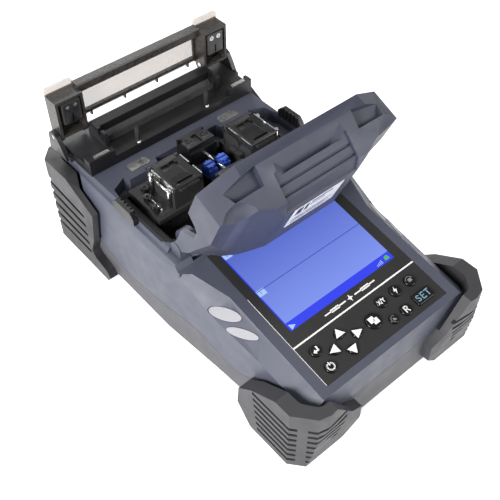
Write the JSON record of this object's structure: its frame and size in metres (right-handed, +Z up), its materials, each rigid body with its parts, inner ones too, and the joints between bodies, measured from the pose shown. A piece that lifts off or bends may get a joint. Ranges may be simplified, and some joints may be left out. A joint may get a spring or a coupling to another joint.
{
  "type": "fiber fusion splicer",
  "caption": "Portable fibre fusion splicer with a tilting wind cover, splicing stage, tube heater, sloping touch-key display panel and ribbed rubber corner bumpers.",
  "frame": {"origin": "on the ground at the centre of the outline seen from above", "axes": "+Z up, +Y from the key panel at the front to the tube heater at the rear, +X to the user's right"},
  "size_m": [0.129, 0.2186, 0.1276],
  "materials": {
    "housing_blue": "fine matt texture, dark blue grey",
    "base_grey": "fine matt texture, warm dark grey",
    "bumper_rubber": "matt moulded rubber",
    "black_plastic": "satin black",
    "dark_metal": "satin black anodised",
    "silver": "satin",
    "steel": "brushed",
    "brass": "turned",
    "panel_glass": "glossy black glass",
    "lcd": "lit display",
    "key_black": "glossy black",
    "board_green": "solder mask",
    "battery_black": "fine matt texture",
    "ceramic_blue": "satin blue",
    "smoked_clear": "clear smoked plastic",
    "foam_black": "closed-cell foam",
    "label_white": "satin white print plate",
    "lamp": "clear lens",
    "inlay_silver": "silver paint"
  },
  "bodies": {
    "casing": {"base_shell": "base_grey", "upper_housing": "housing_blue", "base_screws": "steel", "tripod_socket": "brass", "battery_pack": "battery_black", "main_board": "board_green", "arc_unit": "black_plastic", "drive_motors": "steel", "microscopes": "dark_metal", "power_inlet": "black_plastic", "side_inlays": "inlay_silver", "screen_glass": "panel_glass", "lcd_module": "lcd", "keypad_board": "board_green", "stage_tray": "black_plastic", "v_groove_blocks": "ceramic_blue", "electrodes": "steel", "electrode_covers": "black_plastic", "electrode_cover_screws": "steel", "latch_plates": "silver", "latch_screws": "steel", "fibre_guides": "black_plastic", "heater_body": "black_plastic", "heater_plate": "dark_metal", "heater_magnets": "silver", "heater_lights": "lamp", "heater_hinge_pins": "steel", "bumper_front_left": "bumper_rubber", "bumper_rear_left": "bumper_rubber", "bumper_front_right": "bumper_rubber", "bumper_rear_right": "bumper_rubber", "wind_cover_pins": "steel"},
    "wind_cover": {"wind_cover": "housing_blue", "wind_cover_liner": "foam_black", "label_plate": "label_white", "fibre_pressers": "black_plastic"},
    "heater_cover": {"heater_cover": "smoked_clear", "heater_clamp_blocks": "black_plastic", "heater_clamp_screws": "steel"},
    "carriage_left": {"carriage_left": "dark_metal", "clamp_pin_left": "steel", "clamp_strips_left": "silver"},
    "clamp_left": {"clamp_lid_left": "dark_metal"},
    "carriage_right": {"carriage_right": "dark_metal", "clamp_pin_right": "steel", "clamp_strips_right": "silver"},
    "clamp_right": {"clamp_lid_right": "dark_metal"},
    "key_enter": {"key_enter": "key_black"},
    "key_power": {"key_power": "key_black"},
    "key_pages": {"key_pages": "key_black"},
    "key_axis": {"key_axis": "key_black"},
    "key_arc": {"key_arc": "key_black"},
    "key_heat": {"key_heat": "key_black"},
    "key_dark": {"key_dark": "key_black"},
    "key_reset": {"key_reset": "key_black"},
    "key_up": {"key_up": "key_black"},
    "key_down": {"key_down": "key_black"},
    "key_left": {"key_left": "key_black"},
    "key_right": {"key_right": "key_black"},
    "key_set": {"key_set": "key_black"}
  },
  "joints": [
    {"name": "wind_cover_hinge", "type": "hinge", "parent": "casing", "child": "wind_cover", "pos_m": [0, -0.004, 0.0667], "axis": [-1, 0, 0], "range_deg": [0, 113]},
    {"name": "heater_cover_hinge", "type": "hinge", "parent": "casing", "child": "heater_cover", "pos_m": [0, 0.095, 0.0764], "axis": [1, 0, 0], "range_deg": [0, 90]},
    {"name": "carriage_left_feed", "type": "slide", "parent": "casing", "child": "carriage_left", "axis": [1, 0, 0], "range_m": [0, 0.003]},
    {"name": "clamp_left_hinge", "type": "hinge", "parent": "carriage_left", "child": "clamp_left", "pos_m": [-0.0255, 0.0436, 0.0726], "axis": [1, 0, 0], "range_deg": [-100, 0]},
    {"name": "carriage_right_feed", "type": "slide", "parent": "casing", "child": "carriage_right", "axis": [-1, 0, 0], "range_m": [0, 0.003]},
    {"name": "clamp_right_hinge", "type": "hinge", "parent": "carriage_right", "child": "clamp_right", "pos_m": [0.0255, 0.0436, 0.0726], "axis": [1, 0, 0], "range_deg": [-100, 0]},
    {"name": "key_enter_press", "type": "slide", "parent": "casing", "child": "key_enter", "axis": [0, 0.1749, -0.9846], "range_m": [0, 0.0008], "stiffness_N_per_m": 1500},
    {"name": "key_power_press", "type": "slide", "parent": "casing", "child": "key_power", "axis": [0, 0.1749, -0.9846], "range_m": [0, 0.0008], "stiffness_N_per_m": 1500},
    {"name": "key_pages_press", "type": "slide", "parent": "casing", "child": "key_pages", "axis": [0, 0.1749, -0.9846], "range_m": [0, 0.0008], "stiffness_N_per_m": 1500},
    {"name": "key_axis_press", "type": "slide", "parent": "casing", "child": "key_axis", "axis": [0, 0.1749, -0.9846], "range_m": [0, 0.0008], "stiffness_N_per_m": 1500},
    {"name": "key_arc_press", "type": "slide", "parent": "casing", "child": "key_arc", "axis": [0, 0.1749, -0.9846], "range_m": [0, 0.0008], "stiffness_N_per_m": 1500},
    {"name": "key_heat_press", "type": "slide", "parent": "casing", "child": "key_heat", "axis": [0, 0.1749, -0.9846], "range_m": [0, 0.0008], "stiffness_N_per_m": 1500},
    {"name": "key_dark_press", "type": "slide", "parent": "casing", "child": "key_dark", "axis": [0, 0.1749, -0.9846], "range_m": [0, 0.0008], "stiffness_N_per_m": 1500},
    {"name": "key_reset_press", "type": "slide", "parent": "casing", "child": "key_reset", "axis": [0, 0.1749, -0.9846], "range_m": [0, 0.0008], "stiffness_N_per_m": 1500},
    {"name": "key_up_press", "type": "slide", "parent": "casing", "child": "key_up", "axis": [0, 0.1749, -0.9846], "range_m": [0, 0.0008], "stiffness_N_per_m": 1500},
    {"name": "key_down_press", "type": "slide", "parent": "casing", "child": "key_down", "axis": [0, 0.1749, -0.9846], "range_m": [0, 0.0008], "stiffness_N_per_m": 1500},
    {"name": "key_left_press", "type": "slide", "parent": "casing", "child": "key_left", "axis": [0, 0.1749, -0.9846], "range_m": [0, 0.0008], "stiffness_N_per_m": 1500},
    {"name": "key_right_press", "type": "slide", "parent": "casing", "child": "key_right", "axis": [0, 0.1749, -0.9846], "range_m": [0, 0.0008], "stiffness_N_per_m": 1500},
    {"name": "key_set_press", "type": "slide", "parent": "casing", "child": "key_set", "axis": [0, 0.1749, -0.9846], "range_m": [0, 0.0008], "stiffness_N_per_m": 1500}
  ]
}
